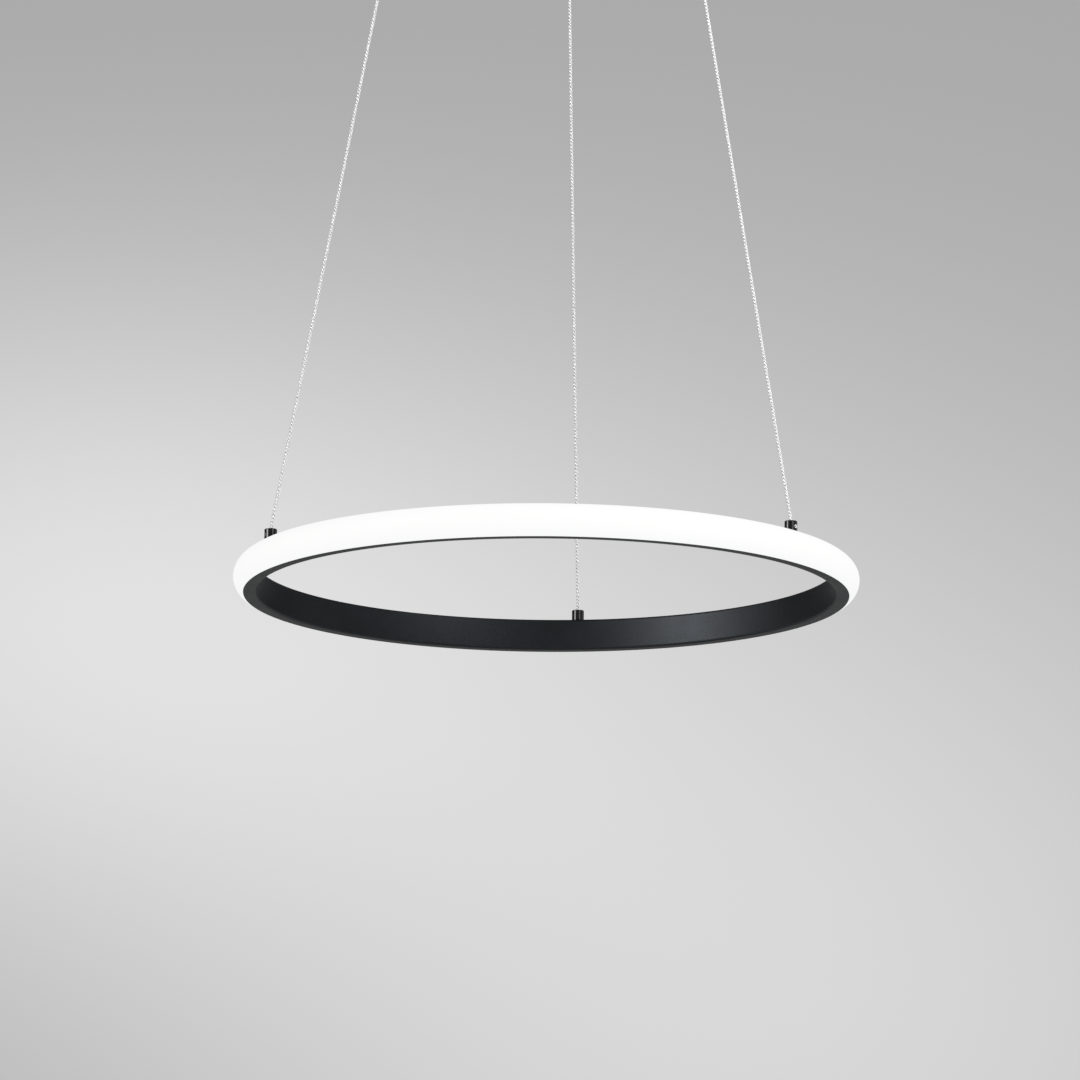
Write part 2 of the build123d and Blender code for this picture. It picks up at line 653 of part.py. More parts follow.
def terminal_screws():
    """Slotted clamping screws in the terminal's wells."""
    face = -PLATE_THICKNESS - TERMINAL_HEIGHT + POLE_SCREW_INSET
    screw = slotted(rod(POLE_SCREW_R, face, face + POLE_SCREW_LENGTH), POLE_SCREW_R, face, downwards=True)
    return Compound([Pos(x, y, 0) * screw for x, y in pole_screw_places()])


def terminal_fixing_screw():
    """Screw that holds the terminal to the plate."""
    return Pos(terminal_screw_x(), TERMINAL_Y, 0) * m3_screw(terminal_seat())


def earth_screw():
    """Earth screw in the plate, with its head on the earth lead's tag."""
    seat = -PLATE_THICKNESS - EARTH_TAG
    face = seat - EARTH_HEAD
    screw = rod(EARTH_SCREW_R, seat, -TIP_CLEARANCE) + rod(EARTH_HEAD_R, face, seat)
    return Pos(EARTH_X, EARTH_Y, 0) * slotted(screw, EARTH_HEAD_R, face, downwards=True)


def mains_leads():
    """Live and neutral leads, which sag between the terminal and the driver."""
    driver_face = DRIVER_Y + DRIVER_WIDTH / 2
    terminal_exit = TERMINAL_FACE_Y - LEAD_INSERT
    driver_exit = driver_face + LEAD_INSERT
    middle = (terminal_exit + driver_exit) / 2
    leads = []
    for x in POLE_XS[:2]:
        points = [
            (x, TERMINAL_FACE_Y + LEAD_INSERT, LEAD_Z),
            (x, terminal_exit, LEAD_Z),
            (x, middle, LEAD_Z - LEAD_SAG),
            (x, driver_exit, LEAD_Z),
            (x, driver_face - LEAD_INSERT, LEAD_Z),
        ]
        leads.append(wire(LEAD_R, LEAD_SAG_R, *points))
    return Compound(leads)


def earth_lead():
    """Earth lead from the terminal, rising to the crimped ring tag on the plate."""
    tag_z = -PLATE_THICKNESS - LEAD_R
    riser_y = TERMINAL_FACE_Y - LEAD_INSERT
    points = [
        (EARTH_X, TERMINAL_FACE_Y + LEAD_INSERT, LEAD_Z),
        (EARTH_X, riser_y, LEAD_Z),
        (EARTH_X, riser_y, tag_z),
        (EARTH_X, EARTH_Y + EARTH_HEAD_R + LEAD_CLEARANCE, tag_z),
    ]
    lead = wire(LEAD_R, EARTH_RISER_R, *points)
    tag = rod(EARTH_TAG_R, -PLATE_THICKNESS - EARTH_TAG, -PLATE_THICKNESS)
    tag -= rod(EARTH_SCREW_R + M3_CLEARANCE, -PLATE_THICKNESS - EARTH_TAG, -PLATE_THICKNESS)
    return lead + Pos(EARTH_X, EARTH_Y, 0) * tag


def output_leads():
    """Leads from the driver's ends, bent down into the crimps on the conducting cables."""
    reach = GRIPPER_CIRCLE_R * sin(radians(360.0 / len(CABLES)))
    y = output_lead_y()
    leads = []
    for side in (-1, 1):
        start = (side * (DRIVER_LENGTH / 2 - LEAD_INSERT), y, LEAD_Z)
        corner = (side * reach, y, LEAD_Z)
        end = (side * reach, y, TAIL_TOP)
        leads.append(wire(LEAD_R, LEAD_BEND_R, start, corner, end))
    return Compound(leads)


def lead_crimp():
    """Crimp sleeve on the cable's upper end."""
    low = TAIL_TOP - CRIMP_LENGTH / 2
    high = TAIL_TOP + CRIMP_LENGTH / 2
    return rod(CRIMP_R, low, high) - rod(CABLE_BORE_R, low, high)


def assembled():
    """Every piece of the lamp at its place, by name."""
    pieces = {
        "ring_profile": ring_profile(),
        "diffuser_ring": diffuser_ring(),
        "led_strip": led_strip(),
        "led_chips": strip_components(CHIP_COUNT, CHIP_LENGTH, CHIP_WIDTH, CHIP_THICKNESS, 0),
        "strip_resistors": strip_components(
            RESISTOR_COUNT, RESISTOR_LENGTH, RESISTOR_WIDTH, RESISTOR_THICKNESS, RESISTOR_OFFSET
        ),
        "gripper_blocks": at_each_cable(gripper_block(), RING_GRIPPER_AXIS_R),
        "grub_screws": at_each_cable(grub_screw(), RING_GRIPPER_AXIS_R),
        "cable_lower_tails": at_each_cable(cable_lower_tail(), RING_GRIPPER_AXIS_R),
        "feed_wires": at_each_cable(feed_wire(), RING_GRIPPER_AXIS_R, CONDUCTING_CABLES),
        "ceiling_plate": ceiling_plate(),
        "canopy_cover": canopy_cover(),
        "canopy_screws": canopy_screws(),
        "entry_bush": entry_bush(),
        "gripper_nuts": at_each_cable(gripper_nut(), GRIPPER_CIRCLE_R),
        "gripper_end_plugs": at_each_cable(gripper_end_plug(), GRIPPER_CIRCLE_R),
        "cable_upper_tails": at_each_cable(rod(CABLE_R, CABLE_MOUTH, TAIL_TOP), GRIPPER_CIRCLE_R),
        "lead_crimps": at_each_cable(lead_crimp(), GRIPPER_CIRCLE_R),
        "led_driver": led_driver(),
        "driver_screws": ear_screws(),
        "terminal_block": terminal_block(),
        "terminal_screws": terminal_screws(),
        "terminal_fixing_screw": terminal_fixing_screw(),
        "earth_screw": earth_screw(),
        "mains_leads": mains_leads(),
        "earth_lead": earth_lead(),
        "output_leads": output_leads(),
    }
    for number in CABLES:
        pieces[f"ring_gripper_{number}"] = at_cable(ring_gripper(), number, RING_GRIPPER_AXIS_R)
        pieces[f"cable_{number}"] = at_cable(cable(), number, 0)
        pieces[f"ceiling_gripper_{number}"] = at_cable(ceiling_gripper(), number, GRIPPER_CIRCLE_R)
        pieces[f"release_plunger_{number}"] = at_cable(release_plunger(), number, GRIPPER_CIRCLE_R)
        pieces[f"lock_balls_{number}"] = lock_balls(number)
        pieces[f"plunger_spring_{number}"] = at_cable(plunger_spring(), number, GRIPPER_CIRCLE_R)
    return pieces


os.makedirs("parts", exist_ok=True)
for name, piece in assembled().items():
    export_step(piece, f"parts/{name}.step")
print(f"least gap between spring turns {spring_gap():.2f} mm")
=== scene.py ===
from math import cos, pi, radians, sin, tan

import bmesh
import bpy
from mathutils import Matrix, Vector


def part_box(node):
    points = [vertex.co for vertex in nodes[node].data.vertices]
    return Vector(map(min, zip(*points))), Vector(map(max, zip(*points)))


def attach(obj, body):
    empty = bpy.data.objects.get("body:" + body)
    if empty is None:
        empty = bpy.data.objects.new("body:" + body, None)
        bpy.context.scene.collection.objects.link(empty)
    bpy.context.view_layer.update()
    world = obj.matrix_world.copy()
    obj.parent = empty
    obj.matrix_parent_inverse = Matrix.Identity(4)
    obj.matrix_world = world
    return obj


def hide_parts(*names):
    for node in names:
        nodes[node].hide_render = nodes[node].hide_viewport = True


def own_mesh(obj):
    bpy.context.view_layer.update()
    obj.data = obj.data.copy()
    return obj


# LED ring pendant light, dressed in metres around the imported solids. The ceiling is the plane z = 0,
# cable 1 is at +Y and cables 2 and 3 follow clockwise as seen from above.

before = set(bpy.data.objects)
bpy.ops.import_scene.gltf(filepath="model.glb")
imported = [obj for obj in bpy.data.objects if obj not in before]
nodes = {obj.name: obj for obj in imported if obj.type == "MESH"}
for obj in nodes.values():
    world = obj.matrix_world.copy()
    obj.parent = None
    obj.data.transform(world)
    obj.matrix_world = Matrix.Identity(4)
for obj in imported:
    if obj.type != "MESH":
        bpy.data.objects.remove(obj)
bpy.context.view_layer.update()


# Ring channel
# A black powder-coated aluminium extrusion that opens outwards, rolled to a ring and welded. Its two thin
# flanges have a snap groove inside, and the upper one has a hole for the spigot of each cable holder.

MM = 0.001
CABLES = (1, 2, 3)
RING_LOW, RING_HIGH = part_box("ring_profile")
RING_MID_Z = (RING_LOW.z + RING_HIGH.z) / 2
RING_HALF = (RING_HIGH.z - RING_LOW.z) / 2
RING_INNER_R = 185.0 * MM
FLANGE_R = 193.5 * MM
PROFILE_WALL = 1.2 * MM
BORE_EDGE_R = 1.6 * MM
RIM_EDGE_R = 0.15 * MM
GROOVE_INSET = 0.9 * MM
GROOVE_WIDTH = 0.8 * MM
GROOVE_DEPTH = 0.4 * MM
SPIGOT_HOLE_R = 2.1 * MM
DRILL_SIDES = 48
ROUND_STEPS = 6
TURN_STEPS = 360
CREASE = radians(35)
NOISE_LOW = 0.3
NOISE_HIGH = 0.7


def rounded_corner(before, corner, after, radius):
    """Points of the small arc that replaces one corner of a section."""
    corner = Vector(corner)
    back = (Vector(before) - corner).normalized()
    ahead = (Vector(after) - corner).normalized()
    half_angle = back.angle(ahead) / 2
    centre = corner + (back + ahead).normalized() * radius / sin(half_angle)
    first = corner + back * radius / tan(half_angle) - centre
    last = corner + ahead * radius / tan(half_angle) - centre
    turn = first.angle_signed(last)
    arc = [Matrix.Rotation(-turn * step / ROUND_STEPS, 2) @ first for step in range(ROUND_STEPS + 1)]
    return [tuple(centre + spoke) for spoke in arc]


def crisp(mesh):
    """Smooth shading that breaks at real edges."""
    mesh.shade_smooth()
    mesh.set_sharp_from_angle(angle=CREASE)


def shown_object(mesh_data, name):
    """Object with smooth faces and crisp edges, put into the scene."""
    mesh = bpy.data.meshes.new(name)
    bmesh.ops.recalc_face_normals(mesh_data, faces=mesh_data.faces)
    mesh_data.to_mesh(mesh)
    mesh_data.free()
    piece = bpy.data.objects.new(name, mesh)
    bpy.context.scene.collection.objects.link(piece)
    crisp(mesh)
    return piece


def lathe(name, section):
    """Ring turned about the lamp's axis from a closed section of radii and heights."""
    turned = bmesh.new()
    rows = []
    for step in range(TURN_STEPS):
        angle = 2 * pi * step / TURN_STEPS
        rows.append([turned.verts.new((r * cos(angle), r * sin(angle), z)) for r, z in section])
    for step, row in enumerate(rows):
        after = rows[(step + 1) % TURN_STEPS]
        for place in range(len(section)):
            beside = (place + 1) % len(section)
            turned.faces.new((row[place], after[place], after[beside], row[beside]))
    return shown_object(turned, name)


def drill(piece, holes):
    """Cut round holes into a piece, each given by its middle, direction, radius and length."""
    drills = []
    for middle, direction, radius, length in holes:
        bit = bmesh.new()
        place = Matrix.Translation(middle) @ Vector(direction).to_track_quat("Z", "Y").to_matrix().to_4x4()
        bmesh.ops.create_cone(bit, cap_ends=True, segments=DRILL_SIDES, radius1=radius, radius2=radius,
                              depth=length, matrix=place)
        drills.append(shown_object(bit, "drill"))
        cut = piece.modifiers.new("hole", "BOOLEAN")
        cut.object = drills[-1]
    graph = bpy.context.evaluated_depsgraph_get()
    cut_mesh = bpy.data.meshes.new_from_object(piece.evaluated_get(graph))
    piece.modifiers.clear()
    piece.data = cut_mesh
    crisp(cut_mesh)
    for drill_bit in drills:
        bpy.data.objects.remove(drill_bit)


def middle_of(node):
    """Middle of a CAD node's box."""
    low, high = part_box(node)
    return (low + high) / 2


def flange_half(side):
    """Corners of one flange and half of the wall, from the wall's inner face to the open side."""
    outer = side * RING_HALF
    inner = side * (RING_HALF - PROFILE_WALL)
    groove = inner + side * GROOVE_DEPTH
    near = FLANGE_R - GROOVE_INSET - GROOVE_WIDTH / 2
    far = near + GROOVE_WIDTH
    bore = (RING_INNER_R, outer)
    rim = (FLANGE_R, outer)
    return [
        *rounded_corner((RING_INNER_R, 0), bore, rim, BORE_EDGE_R),
        *rounded_corner(bore, rim, (FLANGE_R, inner), RIM_EDGE_R),
        (FLANGE_R, inner),
        (far, inner),
        (far, groove),
        (near, groove),
        (near, inner),
        (RING_INNER_R + PROFILE_WALL, inner),
    ]


channel_section = flange_half(-1) + flange_half(1)[::-1]
ring_channel = lathe("ring_channel", [(radius, RING_MID_Z + height) for radius, height in channel_section])
spigot_holes = []
for number in CABLES:
    holder = middle_of(f"ring_gripper_{number}")
    flange_middle = (holder.x, holder.y, RING_HIGH.z - PROFILE_WALL / 2)
    spigot_holes.append((flange_middle, (0, 0, 1), SPIGOT_HOLE_R, 2 * PROFILE_WALL))
drill(ring_channel, spigot_holes)


def new_group(name, inputs, outputs):
    """Empty shader node group, with its input and output sockets."""
    group = bpy.data.node_groups.new(name, "ShaderNodeTree")
    for title, value in inputs.items():
        kind = "NodeSocketColor" if isinstance(value, tuple) else "NodeSocketFloat"
        socket = group.interface.new_socket(title, in_out="INPUT", socket_type=kind)
        socket.default_value = (*value, 1.0) if isinstance(value, tuple) else value
    for title, kind in outputs.items():
        group.interface.new_socket(title, in_out="OUTPUT", socket_type=kind)
    given = group.nodes.new("NodeGroupInput").outputs
    result = group.nodes.new("NodeGroupOutput").inputs
    return group, given, result


def add_node(tree, kind, settings=(), **inputs):
    """Node with its settings, whose inputs are set to values or linked to other nodes' outputs."""
    node = tree.nodes.new(kind)
    for setting, value in dict(settings).items():
        setattr(node, setting, value)
    for title, value in inputs.items():
        socket = node.inputs[int(title[1:])] if title[0] == "_" else node.inputs[title.replace("_", " ")]
        if isinstance(value, bpy.types.NodeSocket):
            tree.links.new(value, socket)
        else:
            socket.default_value = value
    return node


def calculate(tree, operation, first, second=0.0, third=0.0):
    """Output of a sum on up to three values."""
    sum_node = add_node(tree, "ShaderNodeMath", {"operation": operation}, _0=first, _1=second, _2=third)
    return sum_node.outputs[0]


def noise(tree, place, size, detail=2.0):
    """Even noise from 0 to 1, with grains of about the given size."""
    scale = calculate(tree, "DIVIDE", 1.0, size)
    return add_node(tree, "ShaderNodeTexNoise", Vector=place, Scale=scale, Detail=detail).outputs["Fac"]


def stretch(tree, value, low, high):
    """Noise between its usual low and high, spread over a new range."""
    spread = add_node(tree, "ShaderNodeMapRange", _0=value, _1=NOISE_LOW, _2=NOISE_HIGH, _3=low, _4=high)
    return spread.outputs["Result"]


def blend_colours(tree, share, first, second):
    """Colour that goes from one to another with the share."""
    mix = add_node(tree, "ShaderNodeMix", {"data_type": "RGBA"}, _0=share, _6=first, _7=second)
    return mix.outputs[2]


# Fine grain is the small orange peel of a sprayed, moulded or plated surface, with larger smudges over it.
grain, given, result = new_group(
    "fine_grain",
    {"Colour": (0.5, 0.5, 0.5), "Second Colour": (0.5, 0.5, 0.5), "Grain Size": 0.5 * MM,
     "Smudge Size": 25.0 * MM, "Smoothest": 0.3, "Roughest": 0.5},
    {"Colour": "NodeSocketColor", "Roughness": "NodeSocketFloat", "Height": "NodeSocketFloat"},
)
grain_place = add_node(grain, "ShaderNodeTexCoord").outputs["Object"]
grain_height = noise(grain, grain_place, given["Grain Size"])
smudges = noise(grain, grain_place, given["Smudge Size"], detail=4.0)
grain_share = calculate(grain, "DIVIDE", calculate(grain, "ADD", grain_height, smudges), 2.0)
grain.links.new(grain_height, result["Height"])
grain.links.new(stretch(grain, grain_share, given["Smoothest"], given["Roughest"]), result["Roughness"])
grain_tint = stretch(grain, grain_share, 0.0, 1.0)
grain_colour = blend_colours(grain, grain_tint, given["Colour"], given["Second Colour"])
grain.links.new(grain_colour, result["Colour"])


def new_finish(name, group, bump, values, **shader_values):
    """Material whose colour, roughness and relief come from a placed node group."""
    material = bpy.data.materials.new(name)
    material.use_nodes = True
    tree = material.node_tree
    shader = tree.nodes["Principled BSDF"]
    effect = add_node(tree, "ShaderNodeGroup", {"node_tree": group})
    for title, value in values.items():
        effect.inputs[title].default_value = (*value, 1.0) if isinstance(value, tuple) else value
    relief = add_node(tree, "ShaderNodeBump", Distance=bump, Height=effect.outputs["Height"])
    tree.links.new(effect.outputs["Colour"], shader.inputs["Base Color"])
    tree.links.new(effect.outputs["Roughness"], shader.inputs["Roughness"])
    tree.links.new(relief.outputs["Normal"], shader.inputs["Normal"])
    for title, value in shader_values.items():
        shader.inputs[title.replace("_", " ")].default_value = value
    return material


def give(material, *pieces):
    """Put one material on pieces or CAD nodes."""
    for piece in pieces:
        piece.data.materials.clear()
        piece.data.materials.append(material)


powder_coat = new_finish(
    "powder_coat", grain, 0.07 * MM,
    {"Colour": (0.0032, 0.0034, 0.0039), "Second Colour": (0.0055, 0.0058, 0.0066), "Grain Size": 0.9 * MM,
     "Smudge Size": 30.0 * MM, "Smoothest": 0.44, "Roughest": 0.54},
    Specular_IOR_Level=0.36, Specular_Tint=(0.84, 0.91, 1.0, 1.0),
)
give(powder_coat, ring_channel)
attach(ring_channel, "ring")
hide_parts("ring_profile")


# LED strip
# A white flexible circuit stuck round the channel's wall, with yellow phosphor LED packages and small black
# resistors soldered on its outer face.

solder_mask = new_finish(
    "solder_mask", grain, 0.01 * MM,
    {"Colour": (0.78, 0.78, 0.75), "Second Colour": (0.88, 0.88, 0.86), "Grain Size": 0.3 * MM,
     "Smudge Size": 8.0 * MM, "Smoothest": 0.35, "Roughest": 0.5},
)
give(solder_mask, nodes["led_strip"])
phosphor = new_finish(
    "phosphor", grain, 0.01 * MM,
    {"Colour": (0.80, 0.58, 0.10), "Second Colour": (0.86, 0.70, 0.20), "Grain Size": 0.12 * MM,
     "Smudge Size": 1.5 * MM, "Smoothest": 0.45, "Roughest": 0.6},
)
give(phosphor, nodes["led_chips"])
matt_black = new_finish(
    "matt_black", grain, 0.01 * MM,
    {"Colour": (0.012, 0.012, 0.012), "Second Colour": (0.022, 0.022, 0.023), "Grain Size": 0.15 * MM,
     "Smudge Size": 6.0 * MM, "Smoothest": 0.5, "Roughest": 0.65},
)
give(matt_black, nodes["strip_resistors"])


# Cable holders
# Small black cylinders turned from aluminium and anodised, screwed through the top flange into tapped and
# zinc-plated blocks. A polished grub screw in the side clamps the cable in each.

turning, given, result = new_group(
    "turning_lines",
    {"Colour": (0.5, 0.5, 0.5), "Second Colour": (0.5, 0.5, 0.5), "Line Width": 0.08 * MM,
     "Smoothest": 0.2, "Roughest": 0.3},
    {"Colour": "NodeSocketColor", "Roughness": "NodeSocketFloat", "Height": "NodeSocketFloat"},
)
LINE_DRAW = (0.02, 0.02, 1.0)
turning_place = add_node(turning, "ShaderNodeTexCoord").outputs["Object"]
drawn_out = add_node(turning, "ShaderNodeVectorMath", {"operation": "MULTIPLY"}, _0=turning_place,
                     _1=LINE_DRAW)
lines = noise(turning, drawn_out.outputs[0], given["Line Width"], detail=3.0)
turning.links.new(lines, result["Height"])
turning.links.new(stretch(turning, lines, given["Smoothest"], given["Roughest"]), result["Roughness"])
line_tint = stretch(turning, lines, 0.0, 1.0)
line_colour = blend_colours(turning, line_tint, given["Colour"], given["Second Colour"])
turning.links.new(line_colour, result["Colour"])

black_anodised = new_finish(
    "black_anodised", turning, 0.002 * MM,
    {"Colour": (0.006, 0.006, 0.007), "Second Colour": (0.011, 0.011, 0.012), "Line Width": 0.08 * MM,
     "Smoothest": 0.16, "Roughest": 0.26},
    Specular_IOR_Level=0.4, Coat_Weight=0.15, Coat_Roughness=0.08,
)
give(black_anodised, *(nodes[f"ring_gripper_{number}"] for number in CABLES))
zinc_plate = new_finish(
    "zinc_plate", grain, 0.01 * MM,
    {"Colour": (0.56, 0.58, 0.60), "Second Colour": (0.70, 0.71, 0.72), "Grain Size": 0.4 * MM,
     "Smudge Size": 12.0 * MM, "Smoothest": 0.24, "Roughest": 0.42},
    Metallic=0.55,
)
give(zinc_plate, nodes["gripper_blocks"])
polished_steel = new_finish(
    "polished_steel", grain, 0.002 * MM,
    {"Colour": (0.70, 0.70, 0.69), "Second Colour": (0.80, 0.80, 0.79), "Grain Size": 0.2 * MM,
     "Smudge Size": 2.0 * MM, "Smoothest": 0.1, "Roughest": 0.18},
    Metallic=0.7,
)
give(polished_steel, nodes["grub_screws"])


# Cables
# A steel core wire with two bright tinned strands wound round it, inside a clear sheath of 2.2 mm. Each cable
# runs taut from its holder on the ring to its gripper at the ceiling, and is drawn up to raise the ring.

CABLE_DIAMETER = 2.2 * MM
SHEATH_SIDES = 24
CORE_R = 0.28 * MM
CORE_SIDES = 12
STRAND_COUNT = 2
STRAND_R = 0.40 * MM
STRAND_SIDES = 9
STRAND_LAY = 4.6 * MM
STEPS_PER_LAY = 14
LAID_R = CORE_R + STRAND_R
STRAIGHT_RUN = 6 * CABLE_DIAMETER
ROUTE_STEPS = 16


def route_points(name, points):
    """Points along the smooth NURBS route that the given control points guide."""
    curve = bpy.data.curves.new(name, "CURVE")
    curve.dimensions = "3D"
    curve.resolution_u = ROUTE_STEPS
    spline = curve.splines.new("NURBS")
    spline.points.add(len(points) - 1)
    for control, point in zip(spline.points, points):
        control.co = (*point, 1.0)
    spline.order_u = 3
    spline.use_endpoint_u = True
    route = bpy.data.objects.new(name, curve)
    bpy.context.scene.collection.objects.link(route)
    graph = bpy.context.evaluated_depsgraph_get()
    line = bpy.data.meshes.new_from_object(route.evaluated_get(graph))
    found = [vertex.co.copy() for vertex in line.vertices]
    bpy.data.objects.remove(route)
    bpy.data.curves.remove(curve)
    bpy.data.meshes.remove(line)
    return found


def add_tube(mesh_data, line, radius, sides, beside=(0, 1, 0)):
    """Closed round tube along a line of points, added to a mesh. The line never runs along beside."""
    rings = []
    for place, point in enumerate(line):
        ahead = line[min(place + 1, len(line) - 1)] - line[max(place - 1, 0)]
        side = ahead.cross(Vector(beside)).normalized()
        up = side.cross(ahead).normalized()
        ring = []
        for step in range(sides):
            angle = 2 * pi * step / sides
            ring.append(mesh_data.verts.new(point + radius * (cos(angle) * side + sin(angle) * up)))
        rings.append(ring)
    for ring, after in zip(rings, rings[1:]):
        for step in range(sides):
            following = (step + 1) % sides
            mesh_data.faces.new((ring[step], ring[following], after[following], after[step]))
    mesh_data.faces.new(rings[0])
    mesh_data.faces.new(rings[-1])


def strand_line(line, start_angle):
    """Helix of one strand round the cable's line."""
    lengths = [0.0]
    for first, second in zip(line, line[1:]):
        lengths.append(lengths[-1] + (second - first).length)
    ahead = (line[-1] - line[0]).normalized()
    side = ahead.cross(Vector((0, 1, 0))).normalized()
    up = side.cross(ahead)
    steps = round(lengths[-1] / STRAND_LAY * STEPS_PER_LAY)
    helix = []
    span = 0
    for step in range(steps + 1):
        along = lengths[-1] * step / steps
        while span < len(line) - 2 and lengths[span + 1] < along:
            span += 1
        share = (along - lengths[span]) / (lengths[span + 1] - lengths[span])
        angle = start_angle + 2 * pi * along / STRAND_LAY
        spoke = cos(angle) * side + sin(angle) * up
        helix.append(line[span].lerp(line[span + 1], share) + LAID_R * spoke)
    return helix


core_steel = new_finish(
    "core_steel", turning, 0.001 * MM,
    {"Colour": (0.74, 0.74, 0.75), "Second Colour": (0.84, 0.84, 0.85), "Line Width": 0.5 * MM,
     "Smoothest": 0.3, "Roughest": 0.4},
    Metallic=0.1,
)
tinned_strand = new_finish(
    "tinned_strand", turning, 0.001 * MM,
    {"Colour": (0.70, 0.70, 0.70), "Second Colour": (0.77, 0.77, 0.77), "Line Width": 0.5 * MM,
     "Smoothest": 0.2, "Roughest": 0.3},
    Metallic=0.15,
)
clear_sheath = new_finish(
    "clear_sheath", grain, 0.002 * MM,
    {"Colour": (0.76, 0.77, 0.78), "Second Colour": (0.84, 0.85, 0.86), "Grain Size": 1.2 * MM,
     "Smudge Size": 9.0 * MM, "Smoothest": 0.06, "Roughest": 0.14},
    Alpha=0.07, IOR=1.46,
)


def cable_pieces(name, stretches):
    """Core, strands and sheath of cable stretches, each given by its line and the lay's first angle."""
    core = bmesh.new()
    strands = bmesh.new()
    sheath = bmesh.new()
    for line, first_angle in stretches:
        add_tube(core, line, CORE_R, CORE_SIDES)
        add_tube(sheath, line, CABLE_DIAMETER / 2, SHEATH_SIDES)
        for strand in range(STRAND_COUNT):
            helix = strand_line(line, first_angle + 2 * pi * strand / STRAND_COUNT)
            add_tube(strands, helix, STRAND_R, STRAND_SIDES)
    pieces = []
    layers = {
        "core": (core, core_steel),
        "strands": (strands, tinned_strand),
        "sheath": (sheath, clear_sheath),
    }
    for layer, (mesh_data, material) in layers.items():
        piece = shown_object(mesh_data, f"cable_{layer}_{name}")
        give(material, piece)
        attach(piece, "canopy")
        pieces.append(piece)
    return pieces


tails = []
for number in CABLES:
    ring_mouth = middle_of(f"ring_gripper_{number}")
    ring_mouth.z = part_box(f"ring_gripper_{number}")[1].z
    plunger_mouth = middle_of(f"release_plunger_{number}")
    plunger_mouth.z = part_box(f"release_plunger_{number}")[0].z
    taut = plunger_mouth - ring_mouth
    run_in = taut.normalized() * STRAIGHT_RUN
    line = route_points("route", [ring_mouth, ring_mouth + run_in, plunger_mouth - run_in, plunger_mouth])
    core_piece, strand_piece, sheath_piece = cable_pieces(number, [(line, 0.0)])
    for piece in (core_piece, strand_piece, sheath_piece):
        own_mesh(piece)
    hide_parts(f"cable_{number}")
    tail_end = plunger_mouth.copy()
    tail_end.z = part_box("cable_upper_tails")[1].z
    tails.append(([plunger_mouth, tail_end], 2 * pi * taut.length / STRAND_LAY))
tail_sheath = cable_pieces("tails", tails)[-1]
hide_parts("cable_upper_tails")
give(tinned_strand, nodes["cable_lower_tails"])


# Diffuser
# A hollow D-shaped band of opal plastic, extruded and rolled, whose two legs snap into the channel's grooves.
# The LEDs behind it make its whole outside glow evenly.

RING_OUTER_R = 200.0 * MM
DIFFUSER_WALL = 1.5 * MM
LEG_LENGTH = 1.6 * MM
LEG_THICKNESS = 1.2 * MM
SEAT_CLEARANCE = 0.05 * MM
BULGE_STEPS = 40
EDGE_FALL = 3.0
FLOW_SIZE = 40.0 * MM
FLOW_SHARE = 0.2
OPAL_CREST = (1.0, 1.0, 0.995, 1.0)
OPAL_EDGE = (0.975, 0.98, 0.985, 1.0)
OPAL_SMOOTHEST = 0.34
OPAL_ROUGHEST = 0.42


def bulge(chord_r, chord_half, crest_r):
    """Arc from the lower to the upper edge of the band through its crest."""
    rise = crest_r - chord_r
    radius = (chord_half**2 + rise**2) / (2 * rise)
    centre = crest_r - radius
    widest = Vector((chord_r - centre, 0)).angle(Vector((chord_r - centre, chord_half)))
    angles = [widest * (2 * step / BULGE_STEPS - 1) for step in range(BULGE_STEPS + 1)]
    return [(centre + radius * cos(angle), radius * sin(angle)) for angle in angles]


seat_r = FLANGE_R + SEAT_CLEARANCE
leg_out = RING_HALF - PROFILE_WALL - SEAT_CLEARANCE
leg_in = leg_out - LEG_THICKNESS
outside = bulge(seat_r, RING_HALF, RING_OUTER_R)
inside = bulge(seat_r - DIFFUSER_WALL / 2, leg_in, RING_OUTER_R - DIFFUSER_WALL)
leg_tip_r = FLANGE_R - LEG_LENGTH
upper_leg = [(seat_r, leg_out), (leg_tip_r, leg_out), (leg_tip_r, leg_in)]
lower_leg = [(radius, -height) for radius, height in reversed(upper_leg)]
band_section = outside + upper_leg + inside[::-1] + lower_leg
diffuser = lathe("diffuser", [(radius, RING_MID_Z + height) for radius, height in band_section])

opal = bpy.data.materials.new("opal")
opal.use_nodes = True
opal_tree = opal.node_tree
opal_shader = opal_tree.nodes["Principled BSDF"]
opal_place = add_node(opal_tree, "ShaderNodeTexCoord").outputs["Object"]
opal_height = add_node(opal_tree, "ShaderNodeSeparateXYZ", Vector=opal_place).outputs["Z"]
from_crest = calculate(opal_tree, "ABSOLUTE", calculate(opal_tree, "SUBTRACT", opal_height, RING_MID_Z))
to_edge = calculate(opal_tree, "POWER", calculate(opal_tree, "DIVIDE", from_crest, RING_HALF), EDGE_FALL)
flow = noise(opal_tree, opal_place, FLOW_SIZE)
flow_part = calculate(opal_tree, "MULTIPLY", flow, FLOW_SHARE)
fade = calculate(opal_tree, "MULTIPLY_ADD", to_edge, 1 - FLOW_SHARE, flow_part)
glow = blend_colours(opal_tree, fade, OPAL_CREST, OPAL_EDGE)
opal_tree.links.new(glow, opal_shader.inputs["Emission Color"])
opal_shader.inputs["Emission Strength"].default_value = 0.955
opal_shader.inputs["Base Color"].default_value = (0.03, 0.03, 0.03, 1.0)
opal_shader.inputs["Specular IOR Level"].default_value = 0.0
opal_shader.inputs["Coat Weight"].default_value = 0.6
opal_shader.inputs["Coat Roughness"].default_value = 0.75
opal_shader.inputs["Coat IOR"].default_value = 1.4
opal_roughness = stretch(opal_tree, flow, OPAL_SMOOTHEST, OPAL_ROUGHEST)
opal_tree.links.new(opal_roughness, opal_shader.inputs["Roughness"])
